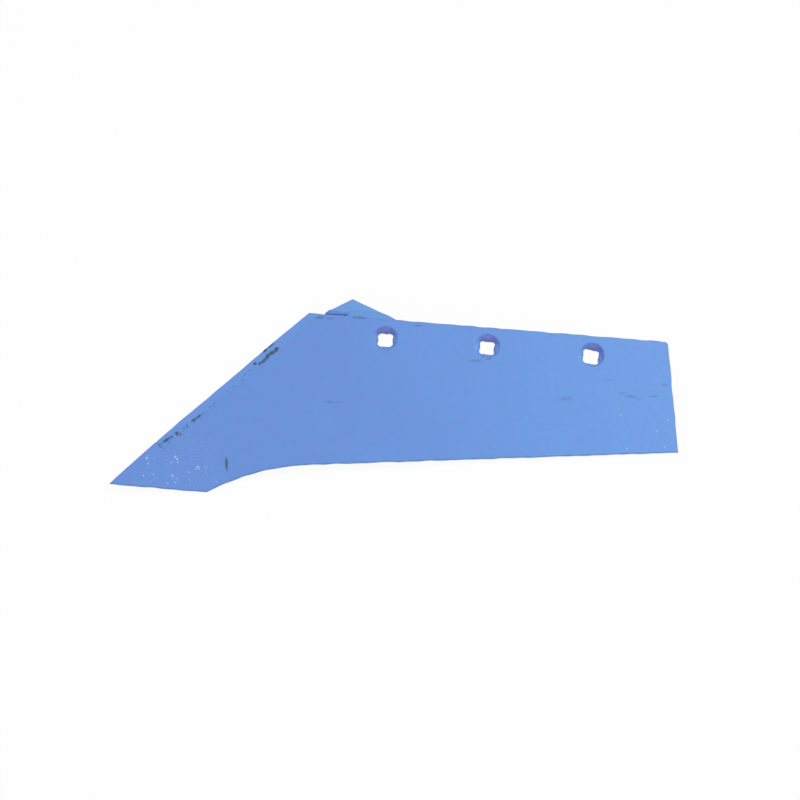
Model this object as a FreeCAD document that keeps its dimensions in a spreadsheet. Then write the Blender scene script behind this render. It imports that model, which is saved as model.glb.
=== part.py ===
import FreeCAD, Part
import os
from math import asin, atan2, cos, degrees, hypot, sin, sqrt, tan, radians

import Sketcher
from FreeCAD import Placement, Rotation, Vector

# Left-hand plough share: a flat wearing blade with a beak-shaped nose, three countersunk square
# bolt holes, a landside plate welded flush along its landside edge and a lug behind its top edge.
#
# World frame: Z up from the ground, X along the line from the nose's lower corner to the heel's
# lower corner, Y towards the rear. The share stands on those two corners and the landside's sole.
#
# Blade frame: origin at the nose's lower corner, x along the straight cutting edge towards the
# heel, y across the blade towards its top edge, z out of the wearing face, which is z = 0.

SIZES = (
    # name, value, what it measures (millimetres, or degrees where it says angle)
    ("blade_plate", 10.0, "thickness of the blade"),
    ("heel_run", 390.5, "nose's lower corner to the heel, along the cutting edge"),
    ("nose_drop", 20.3, "how far the nose reaches below the straight cutting edge"),
    ("beak_run", 80.0, "tip to the nose's lower corner, along the cutting edge"),
    ("beak_rise", 9.6, "height of the tip above the nose's lower corner"),
    ("run_out_radius", 188.0, "radius between the nose and the straight cutting edge"),
    ("corner_run", 86.5, "nose's lower corner to the landside corner, along the edge"),
    ("corner_width", 133.0, "cutting edge to the landside corner, across the blade"),
    ("heel_width", 96.5, "width of the blade at the heel"),
    ("heel_corner", 2.5, "radius of the upper corner of the heel"),
    ("edge_flat", 1.5, "thickness left at the cutting edge"),
    ("bevel_width", 19.0, "width of the bevel under the cutting edge"),
    ("pitch", 25.0, "angle of the wearing face to the ground"),
    ("hole_size", 13.0, "square bolt hole, along the top edge"),
    ("hole_rise", 14.1, "square bolt hole, across the blade"),
    ("heel_hole_growth", 0.8, "how much larger the worn hole at the heel is"),
    ("hole_corner", 3.0, "rounding of the square's corners"),
    ("hole_bow", 24.0, "radius of the square's inward bowed sides"),
    ("hole_pitch", 87.2, "spacing of the bolt holes"),
    ("hole_inset", 16.8, "top edge to the line of bolt holes"),
    ("first_hole", 67.0, "landside corner to the first bolt hole, along the top edge"),
    ("heel_hole_shift", 1.1, "how far the hole at the heel stands beyond its pitch"),
    ("heel_hole_turn", -7.0, "angle by which the hole at the heel was punched askew"),
    ("sink_size", 20.6, "diameter of the countersink at the wearing face"),
    ("sink_depth", 3.5, "depth of the countersink"),
    ("cheek_plate", 5.0, "thickness of the landside plate"),
    ("cheek_start", 50.0, "tip to the front of the landside plate, over the ground"),
    ("cheek_toe", 7.0, "height at which the landside plate's front turns back"),
    ("sole_start", 74.0, "tip to the front of the sole, over the ground"),
    ("seam_start", 54.0, "tip to the start of the seam weld, along the landside edge"),
    ("seam_width", 2.4, "width of the seam weld at the wearing face"),
    ("seam_depth", 3.0, "depth of the seam weld"),
    ("inner_start", 64.0, "tip to the start of the inner weld, along the landside edge"),
    ("inner_end", 16.0, "end of the inner weld to the landside corner"),
    ("inner_leg", 6.0, "leg of the weld inside the landside plate"),
    ("bead_radius", 7.0, "radius of a weld's rounded surface"),
    ("lug_plate", 10.0, "thickness of the lug"),
    ("lug_tilt", 25.0, "angle by which the lug leans back from the blade"),
    ("lug_start", 16.2, "landside corner to the lug, along the top edge"),
    ("lug_left", 19.4, "lug's near corner to its peak, along the top edge"),
    ("lug_right", 32.6, "lug's peak to its far corner, along the top edge"),
    ("lug_depth", 17.2, "how far the lug's peak stands behind the top edge"),
    ("lug_stand", 8.7, "lug's upper face above the blade's rear upper edge"),
    ("lug_nip", 1.2, "size of the cut-off near corner of the lug"),
    ("top_weld_start", 17.6, "lug's near corner to its top weld"),
    ("top_weld_toe", 9.3, "how far the top weld climbs the blade's top edge"),
    ("top_weld_lap", 3.2, "how far the top weld laps on to the lug"),
    ("top_weld_reach", 10.0, "length by which the top weld is drawn beyond the lug"),
    ("root_start", 11.2, "landside corner to the weld in the notch before the lug"),
    ("root_rise", 5.5, "how far that weld fills the notch"),
    ("root_rake", 31.0, "angle by which that weld's near end leans"),
    ("under_start", 4.0, "lug's near corner to the weld under it"),
    ("under_end", 8.0, "weld under the lug to the lug's far corner"),
    ("under_leg", 7.0, "leg of the weld under the lug, down the blade"),
    ("under_lap", 4.0, "leg of the weld under the lug, along the lug"),
    ("reach", 700.0, "length of the blocks that trim the plates"),
)

HOLES = 3
HEEL_HOLE = 2
SHEET = "sizes"
TOLERANCE = 1e-4
LEFT, RIGHT = 1, -1
FIRST, LAST = 1, 2


def make_sheet(doc):
    sheet = doc.addObject("Spreadsheet::Sheet", SHEET)
    for row, (name, value, meaning) in enumerate(SIZES, 1):
        sheet.set(f"A{row}", meaning)
        sheet.set(f"B{row}", str(value))
        sheet.setAlias(f"B{row}", name)
    doc.recompute()
    return sheet


def read(sheet, expression):
    return float(sheet.evalExpression(expression))


def new_sketch(body, role, name):
    plane = next(f for f in body.Origin.OriginFeatures if f.Role == role)
    sketch = body.newObject("Sketcher::SketchObject", name)
    sketch.AttachmentSupport = (plane, [""])
    sketch.MapMode = "FlatFace"
    return sketch


def arc_between(start, end, radius, side):
    """Anticlockwise arc of the given radius that bulges to the LEFT or RIGHT of start to end."""
    chord = end - start
    half = chord.Length / 2
    sagitta = radius - sqrt(radius**2 - half**2)
    across = Vector(-chord.y, chord.x, 0).normalize()
    middle = (start + end) / 2 + across * (side * sagitta)
    if side == LEFT:
        return Part.Arc(end, middle, start)
    return Part.Arc(start, middle, end)


def bind(sketch, expression, *constraint):
    """Add a constraint whose value follows an expression."""
    place = sketch.addConstraint(Sketcher.Constraint(*constraint))
    sketch.setExpression(f"Constraints[{place}]", expression)


def draw_loop(sheet, sketch, corners, arcs=None):
    """Closed outline through corners, each a pair of expressions in the sheet's names.

    arcs gives, for the side that starts at a corner, its radius expression and bulge side."""
    arcs = arcs or {}
    points = [Vector(read(sheet, x), read(sheet, y), 0) for x, y in corners]
    starts = []
    for i, point in enumerate(points):
        after = points[(i + 1) % len(points)]
        radius, side = arcs.get(i, (None, RIGHT))
        if radius:
            sketch.addGeometry(arc_between(point, after, read(sheet, radius), side), False)
        else:
            sketch.addGeometry(Part.LineSegment(point, after), False)
        starts.append(FIRST if side == RIGHT else LAST)
    for i, (x, y) in enumerate(corners):
        before = (i - 1) % len(points)
        end_before = LAST if starts[before] == FIRST else FIRST
        sketch.addConstraint(Sketcher.Constraint("Coincident", before, end_before, i, starts[i]))
        bind(sketch, x, "DistanceX", i, starts[i], points[i].x)
        bind(sketch, y, "DistanceY", i, starts[i], points[i].y)
        if i in arcs:
            bind(sketch, arcs[i][0], "Radius", i, read(sheet, arcs[i][0]))


def new_pad(body, sketch, length, backwards=False):
    pad = body.newObject("PartDesign::Pad", f"{body.Name}_pad")
    pad.Profile = sketch
    pad.Reversed = backwards
    pad.setExpression("Length", length)
    sketch.Document.recompute()
    return pad


def new_block(doc, name, place, length, width, height):
    block = doc.addObject("Part::Box", name)
    block.setExpression("Length", length)
    block.setExpression("Width", width)
    block.setExpression("Height", height)
    block.Placement = place
    return block


def cut_away(doc, name, base, tool):
    cut = doc.addObject("Part::Cut", name)
    cut.Base = base
    cut.Tool = tool
    doc.recompute()
    return cut


# ---- places: where each frame lies, worked out from the sheet ----


class Places:
    """The frames that the pieces are drawn in, and the angles between the plates."""

    def __init__(self, size):
        corner = Vector(size["corner_run"], size["nose_drop"] + size["corner_width"], 0)
        heel_top = Vector(size["heel_run"], size["nose_drop"] + size["heel_width"], 0)
        tip = Vector(-size["beak_run"], size["beak_rise"], 0)
        dip = degrees(atan2(size["nose_drop"], size["heel_run"]))
        pitch = radians(size["pitch"])
        plate = size["blade_plate"]
        level = Rotation(Vector(0, 0, 1), -dip)
        tilt = Rotation(Vector(1, 0, 0), size["pitch"])
        self.blade = Placement(Vector(), tilt * level)

        # The top edge slopes down from the landside corner to the heel.
        self.top_slope = degrees(atan2(heel_top.y - corner.y, heel_top.x - corner.x))
        self.top_edge = self.blade * Placement(corner, Rotation(Vector(0, 0, 1), self.top_slope))

        # The lowest of the cutting edge's lower arris and the bevel's upper border is the ground.
        arris = -size["edge_flat"] * cos(pitch)
        border = size["bevel_width"] * sin(pitch) * cos(radians(dip)) - plate * cos(pitch)
        self.ground = min(arris, border)

        # The landside stands upright below the line from the tip to the landside corner.
        world_tip = self.blade.multVec(tip)
        world_corner = self.blade.multVec(corner)
        run = world_corner - world_tip
        heading = degrees(atan2(run.y, run.x))
        foot = Vector(world_tip.x, world_tip.y, self.ground)
        self.landside = Placement(foot, Rotation(Vector(0, 0, 1), heading))

        # Wedge angle between the wearing face and the landside.
        face_normal = self.blade.Rotation.multVec(Vector(0, 0, 1))
        inward = self.landside.Rotation.multVec(Vector(0, -1, 0))
        self.wedge = asin(sqrt(1 - face_normal.dot(inward) ** 2))

        # The seam runs in the wearing face where the landside plate's inner side comes out.
        edge = corner - tip
        slope = degrees(atan2(edge.y, edge.x))
        self.edge_length = edge.Length
        offset = Vector(0, -size["cheek_plate"] / sin(self.wedge), 0)
        along = Placement(tip, Rotation(Vector(0, 0, 1), slope))
        self.seam = self.blade * along * Placement(offset, Rotation())

        # The lug leans back about the blade's rear upper edge.
        lean = Rotation(Vector(1, 0, 0), -size["lug_tilt"])
        self.lug = self.top_edge * Placement(Vector(0, 0, -plate), lean)


def slid(place, x=0.0, y=0.0, z=0.0):
    return place * Placement(Vector(x, y, z), Rotation())


# ---- share blade ----


def draw_blade(sheet, body):
    tangent = "sqrt(2 * sizes.run_out_radius * sizes.nose_drop - sizes.nose_drop ^ 2)"
    corners = (
        ("0", "0"),
        ("-sizes.beak_run", "sizes.beak_rise"),
        ("sizes.corner_run", "sizes.nose_drop + sizes.corner_width"),
        ("sizes.heel_run", "sizes.nose_drop + sizes.heel_width"),
        ("sizes.heel_run", "sizes.nose_drop"),
        (tangent, "sizes.nose_drop"),
    )
    sketch = new_sketch(body, "XY_Plane", "blade_outline")
    draw_loop(sheet, sketch, corners, {5: ("sizes.run_out_radius", RIGHT)})
    return new_pad(body, sketch, "sizes.blade_plate", backwards=True)


def round_heel(size, body, pad):
    """Round the upper corner of the heel."""
    corner = Vector(size["heel_run"], size["nose_drop"] + size["heel_width"], 0)
    names = []
    for i, edge in enumerate(pad.Shape.Edges, 1):
        ends = [v.Point for v in edge.Vertexes]
        if all(hypot(p.x - corner.x, p.y - corner.y) < TOLERANCE for p in ends):
            names.append(f"Edge{i}")
    fillet = body.newObject("PartDesign::Fillet", "heel_corner_round")
    fillet.Base = (pad, names)
    fillet.setExpression("Radius", "sizes.heel_corner")
    body.Document.recompute()
    return fillet


def bevel_edge(size, body, base):
    """Bevel the underside along the nose, the run-out and the straight cutting edge."""
    names = []
    for i, edge in enumerate(base.Shape.Edges, 1):
        at_back = all(abs(v.Z + size["blade_plate"]) < TOLERANCE for v in edge.Vertexes)
        if at_back and edge.CenterOfMass.y < size["nose_drop"] + TOLERANCE:
            names.append(f"Edge{i}")
    bevel = body.newObject("PartDesign::Chamfer", "edge_bevel")
    bevel.Base = (base, names)
    bevel.ChamferType = "Two distances"
    bevel.setExpression("Size", "sizes.bevel_width")
    bevel.setExpression("Size2", "sizes.blade_plate - sizes.edge_flat")
    body.Document.recompute()
    return bevel


def hole_place(size, top_slope, index):
    """Place of a bolt hole in the blade frame, on the line parallel to the top edge."""
    corner = Vector(size["corner_run"], size["nose_drop"] + size["corner_width"], 0)
    along = size["first_hole"] + index * size["hole_pitch"]
    if index == HEEL_HOLE:
        along += size["heel_hole_shift"]
    turn = Rotation(Vector(0, 0, 1), top_slope)
    return Placement(corner + turn.multVec(Vector(along, -size["hole_inset"], 0)), turn)


def punch_hole(sheet, body, place, index, growth, turn):
    """Square hole with bowed sides and rounded corners, right through the blade."""
    wide = f"((sizes.hole_size + {growth}) / 2)"
    high = f"((sizes.hole_rise + {growth}) / 2)"
    flat = f"({wide} - sizes.hole_corner)"
    wall = f"({high} - sizes.hole_corner)"
    corners = (
        (flat, high),
        (f"-{flat}", high),
        (f"-{wide}", wall),
        (f"-{wide}", f"-{wall}"),
        (f"-{flat}", f"-{high}"),
        (flat, f"-{high}"),
        (wide, f"-{wall}"),
        (wide, wall),
    )
    side = ("sizes.hole_bow", LEFT)
    corner = ("sizes.hole_corner", RIGHT)
    sketch = new_sketch(body, "XY_Plane", f"hole_outline_{index + 1}")
    sketch.AttachmentOffset = place * Placement(Vector(), Rotation(Vector(0, 0, 1), turn))
    arcs = {i: side if i % 2 == 0 else corner for i in range(len(corners))}
    draw_loop(sheet, sketch, corners, arcs)
    pocket = body.newObject("PartDesign::Pocket", f"square_hole_{index + 1}")
    pocket.Profile = sketch
    pocket.Type = "ThroughAll"
    body.Document.recompute()


def sink_hole(body, place, index):
    """Conical seat for the bolt's head."""
    cone = body.newObject("PartDesign::SubtractiveCone", f"countersink_{index + 1}")
    cone.setExpression("Radius1", "sizes.sink_size / 2 - sizes.sink_depth")
    cone.setExpression("Radius2", "sizes.sink_size / 2")
    cone.setExpression("Height", "sizes.sink_depth")
    cone.Placement = place
    body.Document.recompute()


def make_blade_blank(doc, sheet, size, places):
    body = doc.addObject("PartDesign::Body", "blade_blank")
    pad = draw_blade(sheet, body)
    rounded = round_heel(size, body, pad)
    bevel_edge(size, body, rounded)
    for index in range(HOLES):
        place = hole_place(size, places.top_slope, index)
        if index == HEEL_HOLE:
            turn = size["heel_hole_turn"]
            punch_hole(sheet, body, place, index, "sizes.heel_hole_growth", turn)
        else:
            punch_hole(sheet, body, place, index, "0", 0.0)
        sink_hole(body, slid(place, z=-size["sink_depth"]), index)
    body.Placement = places.blade
    return body


# ---- landside plate ----


def make_cheek(doc, sheet, places):
    """Upright plate, drawn over-long upwards and rearwards and trimmed to the blade."""
    body = doc.addObject("PartDesign::Body", "cheek_blank")
    sketch = new_sketch(body, "XZ_Plane", "cheek_outline")
    corners = (
        ("sizes.cheek_start", "sizes.reach / 2"),
        ("sizes.cheek_start", "sizes.cheek_toe"),
        ("sizes.sole_start", "0"),
        ("sizes.reach / 2", "0"),
        ("sizes.reach / 2", "sizes.reach / 2"),
    )
    draw_loop(sheet, sketch, corners)
    new_pad(body, sketch, "sizes.cheek_plate")
    body.Placement = places.landside
    return body


# ---- welds ----


def make_bar(doc, sheet, name, place, corners, length, arcs=None):
    """Straight weld bead: a section in the plane across its run, carried along x."""
    body = doc.addObject("PartDesign::Body", name)
    sketch = new_sketch(body, "YZ_Plane", f"{name}_section")
    draw_loop(sheet, sketch, corners, arcs)
    new_pad(body, sketch, length)
    body.Placement = place
    return body


def make_seam_bar(doc, sheet, size, places):
    """Weld that fills the groove between the landside plate and the bevelled blade."""
    lean = 1 / tan(places.wedge)
    corners = (
        ("0", "0"),
        ("-sizes.seam_width", "0"),
        (f"-{lean} * sizes.seam_depth", "-sizes.seam_depth"),
    )
    place = slid(places.seam, x=size["seam_start"])
    return make_bar(doc, sheet, "seam_bar", place, corners, "sizes.reach / 2")


def make_inner_weld(doc, sheet, size, places):
    """Fillet weld in the corner between the blade's back and the landside plate."""
    lean = 1 / tan(places.wedge)
    root = f"-{lean} * sizes.blade_plate"
    corners = (
        (root, "-sizes.blade_plate"),
        (f"{root} - sizes.inner_leg", "-sizes.blade_plate"),
        (
            f"{root} - {cos(places.wedge)} * sizes.inner_leg",
            f"-sizes.blade_plate - {sin(places.wedge)} * sizes.inner_leg",
        ),
    )
    length = f"{places.edge_length} - sizes.inner_start - sizes.inner_end"
    place = slid(places.seam, x=size["inner_start"])
    arcs = {1: ("sizes.bead_radius", RIGHT)}
    return make_bar(doc, sheet, "inner_fillet_weld", place, corners, length, arcs)


def make_top_weld(doc, sheet, size, places):
    """Bead that fills the notch between the blade's top edge and the lug and laps on to the lug."""
    corners = (
        ("0", "0"),
        ("0", "sizes.lug_stand"),
        ("sizes.top_weld_lap", "sizes.lug_stand"),
        (
            "-sin(sizes.lug_tilt) * sizes.top_weld_toe",
            "cos(sizes.lug_tilt) * sizes.top_weld_toe",
        ),
    )
    start = size["lug_start"] + size["top_weld_start"]
    length = "sizes.lug_left + sizes.lug_right - sizes.top_weld_start + sizes.top_weld_reach"
    arcs = {2: ("sizes.bead_radius", RIGHT)}
    return make_bar(doc, sheet, "top_weld_bar", slid(places.lug, x=start), corners, length, arcs)


def make_root_weld(doc, sheet, size, places):
    """Bead in the notch between the blade's top edge and the lug, up to the top weld."""
    corners = (
        ("0", "0"),
        ("0", "sizes.root_rise"),
        ("-tan(sizes.lug_tilt) * sizes.root_rise", "sizes.root_rise"),
    )
    length = "sizes.lug_start + sizes.top_weld_start - sizes.root_start"
    place = slid(places.lug, x=size["root_start"])
    return make_bar(doc, sheet, "root_weld_bar", place, corners, length)


def make_under_weld(doc, sheet, size, places):
    """Bead between the lug's lower side and the blade's back."""
    bottom = "sizes.lug_stand - sizes.lug_plate"
    corners = (
        ("0", "0"),
        (
            "-cos(sizes.lug_tilt) * sizes.under_leg",
            "-sin(sizes.lug_tilt) * sizes.under_leg",
        ),
        ("sizes.under_lap", bottom),
        ("0", bottom),
    )
    start = size["lug_start"] + size["under_start"]
    length = "sizes.lug_left + sizes.lug_right - sizes.under_start - sizes.under_end"
    arcs = {1: ("sizes.bead_radius", RIGHT)}
    return make_bar(doc, sheet, "lug_under_weld", slid(places.lug, x=start), corners, length, arcs)


# ---- lug ----


def make_lug(doc, sheet, size, places):
    """Three-cornered plate behind the top edge, its near corner nipped off."""
    body = doc.addObject("PartDesign::Body", "frog_lug")
    sketch = new_sketch(body, "XY_Plane", "lug_outline")
    corners = (
        ("sizes.lug_nip", "0"),
        ("sizes.lug_nip", "sizes.lug_nip * sizes.lug_depth / sizes.lug_left"),
        ("sizes.lug_left", "sizes.lug_depth"),
        ("sizes.lug_left + sizes.lug_right", "0"),
    )
    draw_loop(sheet, sketch, corners)
    new_pad(body, sketch, "sizes.lug_plate", backwards=True)
    body.Placement = slid(places.lug, x=size["lug_start"], z=size["lug_stand"])
    return body


# ---- assembly ----


def make_share(doc, sheet, size):
    places = Places(size)
    reach = size["reach"]

    blank = make_blade_blank(doc, sheet, size, places)
    cheek = make_cheek(doc, sheet, places)
    seam_bar = make_seam_bar(doc, sheet, size, places)
    lug = make_lug(doc, sheet, size, places)
    inner_weld = make_inner_weld(doc, sheet, size, places)
    top_bar = make_top_weld(doc, sheet, size, places)
    root_bar = make_root_weld(doc, sheet, size, places)
    under_weld = make_under_weld(doc, sheet, size, places)

    # Blocks: outside the landside, the landside plate's own room, above the face, behind the top,
    # beyond the lug's far side and before the slanted near end of the weld in the notch.
    cube = ("sizes.reach", "sizes.reach", "sizes.reach")
    low = slid(places.landside, x=-reach / 2, z=-reach / 2)
    outside = new_block(doc, "outside_landside", low, *cube)
    room_place = slid(places.landside, x=size["cheek_start"], y=-size["cheek_plate"], z=-reach / 2)
    room = new_block(doc, "cheek_room", room_place, "sizes.reach", "sizes.cheek_plate", "sizes.reach")
    above_place = slid(places.blade, x=-reach / 2, y=-reach / 2)
    above = new_block(doc, "above_face", above_place, *cube)
    behind_place = slid(places.top_edge, x=-reach / 2, z=-reach / 2)
    behind = new_block(doc, "behind_top_edge", behind_place, *cube)
    far_corner = slid(places.lug, x=size["lug_start"] + size["lug_left"] + size["lug_right"])
    far_turn = Rotation(Vector(0, 0, 1), -degrees(atan2(size["lug_depth"], size["lug_right"])))
    beyond_place = slid(far_corner * Placement(Vector(), far_turn), x=-reach / 2, z=-reach / 2)
    beyond = new_block(doc, "beyond_lug", beyond_place, *cube)
    rake = Rotation(Vector(0, 1, 0), size["root_rake"])
    near_end = slid(places.lug, x=size["root_start"]) * Placement(Vector(), rake)
    before_place = slid(near_end, x=-reach, y=-reach / 2, z=-reach / 2)
    before = new_block(doc, "before_root_weld", before_place, *cube)

    trimmed = cut_away(doc, "blade_trimmed", blank, outside)
    fitted = cut_away(doc, "blade_fitted", trimmed, room)
    blade = cut_away(doc, "share_blade", fitted, seam_bar)
    cheek_under = cut_away(doc, "cheek_under_face", cheek, above)
    cheek_plate = cut_away(doc, "landside_plate", cheek_under, behind)
    seam_weld = cut_away(doc, "seam_weld", seam_bar, behind)
    top_weld = cut_away(doc, "lug_top_weld", top_bar, beyond)
    root_weld = cut_away(doc, "lug_root_weld", root_bar, before)

    nodes = [blade, cheek_plate, lug, seam_weld, inner_weld, top_weld, root_weld, under_weld]
    placed = [blank, cheek, seam_bar, lug, inner_weld, top_bar, root_bar, under_weld]
    placed += [outside, room, above, behind, beyond, before]
    for node in nodes:
        node.Label = node.Name
    return nodes, placed


def set_down(doc, nodes, placed):
    """Move the origin to the middle of the share's footprint, on the ground."""
    box = FreeCAD.BoundBox()
    for node in nodes:
        box.add(node.Shape.optimalBoundingBox())
    shift = Vector(-box.Center.x, -box.Center.y, -box.ZMin)
    for item in placed:
        place = item.Placement
        item.Placement = Placement(place.Base + shift, place.Rotation)
    doc.recompute()


def check(doc, nodes):
    for item in doc.Objects:
        if {"Invalid", "Error"} & set(item.State):
            raise RuntimeError(f"{item.Name} failed: {item.State}")
    for node in nodes:
        if node.Shape.isNull() or not node.Shape.isValid() or len(node.Shape.Solids) != 1:
            raise RuntimeError(f"{node.Label} is not one valid solid")


def main():
    doc = FreeCAD.newDocument("plough_share")
    sheet = make_sheet(doc)
    size = {name: read(sheet, f"{SHEET}.{name}") for name, value, meaning in SIZES}
    nodes, placed = make_share(doc, sheet, size)
    set_down(doc, nodes, placed)
    check(doc, nodes)
    os.makedirs("parts", exist_ok=True)
    for node in nodes:
        node.Shape.exportStep(f"parts/{node.Label}.step")
        print(node.Label, round(node.Shape.Volume), "cubic millimetres")


main()
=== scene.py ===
from math import atan2, cos, pi, radians, sin, sqrt, tan

import bpy
import numpy as np
from mathutils import Matrix, Vector


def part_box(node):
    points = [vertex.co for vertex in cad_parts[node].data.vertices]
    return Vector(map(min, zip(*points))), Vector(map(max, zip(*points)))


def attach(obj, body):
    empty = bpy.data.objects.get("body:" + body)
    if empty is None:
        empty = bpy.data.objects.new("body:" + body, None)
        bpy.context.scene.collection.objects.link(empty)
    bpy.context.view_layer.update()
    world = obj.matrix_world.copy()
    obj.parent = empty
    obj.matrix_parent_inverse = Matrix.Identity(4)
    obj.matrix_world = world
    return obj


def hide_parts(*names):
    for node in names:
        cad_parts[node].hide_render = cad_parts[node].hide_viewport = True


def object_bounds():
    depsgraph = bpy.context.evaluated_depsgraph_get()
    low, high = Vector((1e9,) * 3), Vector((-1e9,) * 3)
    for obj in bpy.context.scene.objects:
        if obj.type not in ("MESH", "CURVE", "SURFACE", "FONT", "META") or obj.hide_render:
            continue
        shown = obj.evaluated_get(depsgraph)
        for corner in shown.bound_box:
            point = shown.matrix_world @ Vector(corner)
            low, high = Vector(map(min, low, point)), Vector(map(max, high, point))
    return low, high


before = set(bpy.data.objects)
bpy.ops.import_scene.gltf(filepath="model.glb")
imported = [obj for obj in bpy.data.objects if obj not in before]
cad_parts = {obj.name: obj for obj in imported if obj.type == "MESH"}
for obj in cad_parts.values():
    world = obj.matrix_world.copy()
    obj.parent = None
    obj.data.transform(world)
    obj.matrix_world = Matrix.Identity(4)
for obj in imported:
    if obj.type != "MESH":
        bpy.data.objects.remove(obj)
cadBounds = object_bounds()
print("frame loaded:", ", ".join(sorted(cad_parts)))

# Pieces are worked out in millimetres, in frames of their own, and placed in metres at the end.
mm = 0.001


def unit(vectors):
    # Each vector divided by its length
    return vectors / np.linalg.norm(vectors, axis=-1, keepdims=True)


def between(start, end, steps):
    # Points spaced evenly from start to end, both included
    share = np.linspace(0, 1, steps + 1)[:, None]
    return np.asarray(start) * (1 - share) + np.asarray(end) * share


def waver(run, size, seed, waves=6):
    # Sum of sines along the run with periods spread about size and random phases, height about 1
    random = np.random.default_rng(seed)
    period = size * random.uniform(0.55, 2.0, waves)
    phase = random.uniform(0, 2 * pi, waves)
    return np.sin(np.asarray(run)[..., None] * 2 * pi / period + phase).sum(-1) / sqrt(waves)


def turned(axis, degrees):
    # Rotation matrix about the x or z axis
    c, s = cos(radians(degrees)), sin(radians(degrees))
    matrix = {
        "x": [[1, 0, 0], [0, c, -s], [0, s, c]],
        "z": [[c, -s, 0], [s, c, 0], [0, 0, 1]],
    }[axis]
    return np.array(matrix)


def moved(place, points):
    # Points of a local frame, taken into the share's frame: origin + axes times point
    origin, axes = place
    return origin + np.asarray(points) @ axes.T


def localTo(place, points):
    # Points of the share's frame, taken into a local frame
    origin, axes = place
    return (np.asarray(points) - origin) @ axes


def gridFaces(ids):
    # One four-cornered face between each pair of neighbouring rows and columns
    return np.stack([ids[:-1, :-1], ids[:-1, 1:], ids[1:, 1:], ids[1:, :-1]], -1).reshape(-1, 4)


def ringFaces(ids):
    # The same, between closed rings
    return gridFaces(np.hstack([ids, ids[:, :1]]))


def numbered(shape, first=0):
    # Point numbers of a grid, counted on from the first
    return first + np.arange(shape[0] * shape[1]).reshape(shape)


def gathered(faces, ids):
    # Faces at a row of points that lie in one place, all naming the row's first point
    return np.where(np.isin(faces, ids), ids[0], faces)


def quarterRound(share):
    # Half width of a rounded end by the distance from it, as shares: sqrt(1 - (1 - t)^2)
    return np.sqrt(1 - (1 - share.clip(0, 1)) ** 2)


def addObject(name, data):
    made = bpy.data.objects.new(name, data)
    bpy.context.scene.collection.objects.link(made)
    return made


def newPiece(name, points, faces, material, replaced, attributes, weighted=True):
    # A mesh object at the origin. Points that no face uses are left out, and a face with one
    # point named twice becomes a triangle.
    used, faces = np.unique(faces, return_inverse=True)
    faces = faces.reshape(-1, 4)
    twice = faces == np.roll(faces, -1, 1)
    pinched = twice.any(1)
    triangles = faces[pinched][~twice[pinched]].reshape(-1, 3)
    mesh = bpy.data.meshes.new(name)
    mesh.from_pydata((points[used] * mm).tolist(), [], faces[~pinched].tolist() + triangles.tolist())
    mesh.polygons.foreach_set("use_smooth", np.ones(len(mesh.polygons), bool))
    for key, values in attributes.items():
        layer = mesh.attributes.new(key, "FLOAT", "POINT")
        layer.data.foreach_set("value", values[used].astype(np.float32))
    mesh.validate()
    mesh.materials.append(material)
    piece = addObject(name, mesh)
    if weighted:
        # Wide faces keep their own direction, so only the softened edges shade round
        flat = piece.modifiers.new("faceNormals", "WEIGHTED_NORMAL")
        flat.mode = "FACE_AREA"
        flat.weight = 100
    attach(piece, "root")
    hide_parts(replaced)
    print(name, len(mesh.vertices), "points,", len(mesh.polygons), "faces")


blade = {
    "plate": 10.0,            # thickness
    "pitch": 25.0,            # wearing face to the ground, degrees
    "heelRun": 390.5,         # nose's lower corner to the heel
    "noseDrop": 20.3,         # nose below the straight cutting edge
    "beakRun": 80.0,          # tip to the nose's lower corner
    "beakRise": 9.6,
    "runOutRadius": 188.0,
    "cornerRun": 86.5,        # nose's lower corner to the landside corner
    "cornerWidth": 133.0,
    "heelWidth": 96.5,
    "heelCorner": 2.5,
    "edgeFlat": 1.5,          # thickness left at the cutting edge
    "bevelWidth": 19.0,
    "bevelRound": 0.7,        # softening of the bevel's border, to each side of it
    "grooveWidth": 2.0,       # weld groove beside the landside plate, open at the wearing face
    "arris": 0.5,             # softening of the edges
    "wander": 0.2,            # how far the sheared edges leave a straight line
    "seed": 11,
    "strip": 6,               # grid columns between the landside edge and the groove's line
    "beak": 18, "arc": 22, "straight": 10,   # columns from there to the first hole's window
    "straightRun": 0.62,      # how far the last of those reach, as a share of windowStart
    "bevel": 6, "nose": 9, "middle": 26,     # rows
    "rimRow": 0.55,           # place of the row between the holes' windows and the top edge
    "fade": 10,               # columns over which the lower face's draw-in dies away
}

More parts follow.
